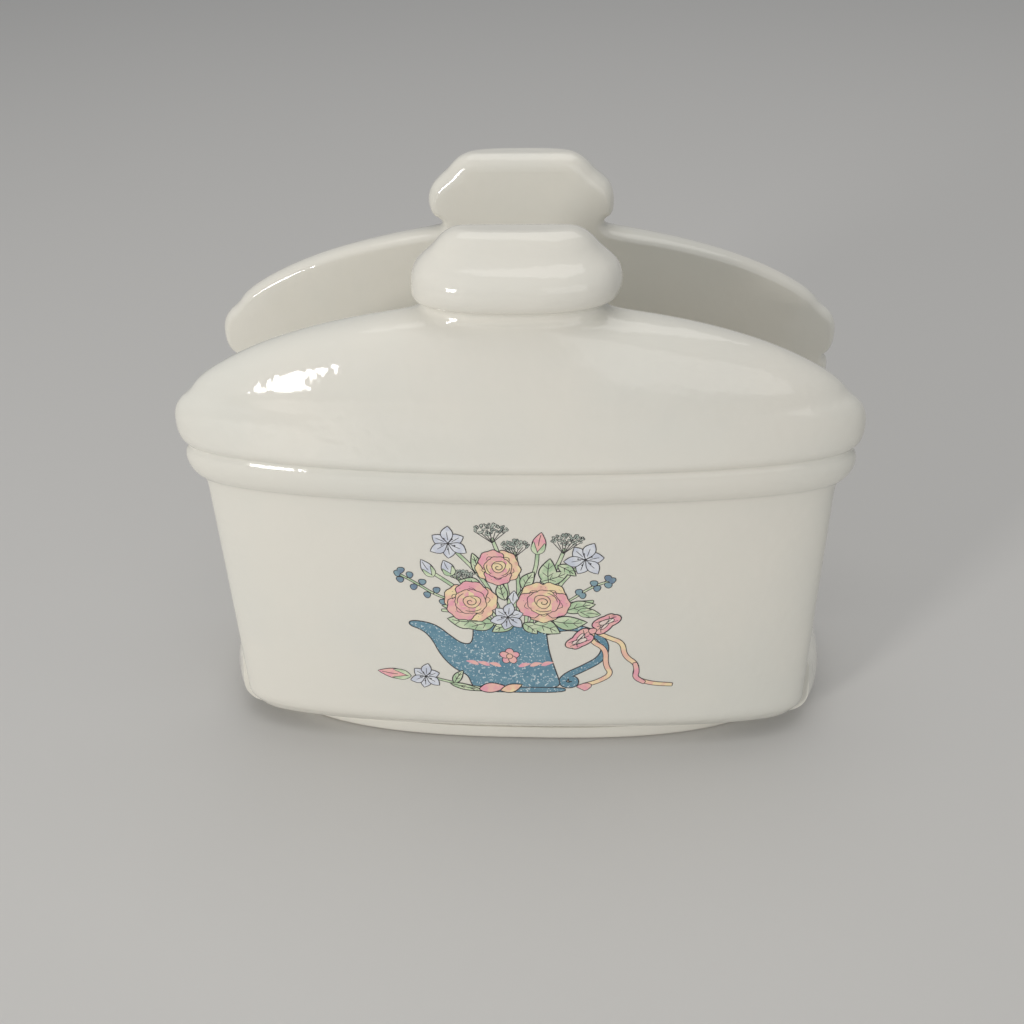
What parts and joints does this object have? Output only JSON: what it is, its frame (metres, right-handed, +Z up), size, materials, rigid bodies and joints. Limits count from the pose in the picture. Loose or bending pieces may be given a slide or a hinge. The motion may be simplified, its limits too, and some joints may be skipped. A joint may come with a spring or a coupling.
{
  "type": "napkin holder",
  "caption": "Glazed ceramic napkin holder shaped like an oval lidded tureen, open down the middle, with a printed bouquet on the front.",
  "frame": {"origin": "centre of the table contact, under the middle of the slot", "axes": "+Z up, X along the open slot, -Y towards the printed front"},
  "size_m": [0.165, 0.084, 0.143],
  "materials": {
    "glaze": "glossy cream-white glaze",
    "foot": "glazed sides, bare matt underside",
    "print": "fired printed transfer, glossy"
  },
  "bodies": {
    "root": {"front_body": "glaze", "front_lid": "glaze", "front_knob": "glaze", "front_slot_wall": "glaze", "back_body": "glaze", "back_lid": "glaze", "back_knob": "glaze", "back_slot_wall": "glaze", "saddle": "glaze", "foot_ring": "foot", "front_transfer": "print"}
  },
  "joints": []
}
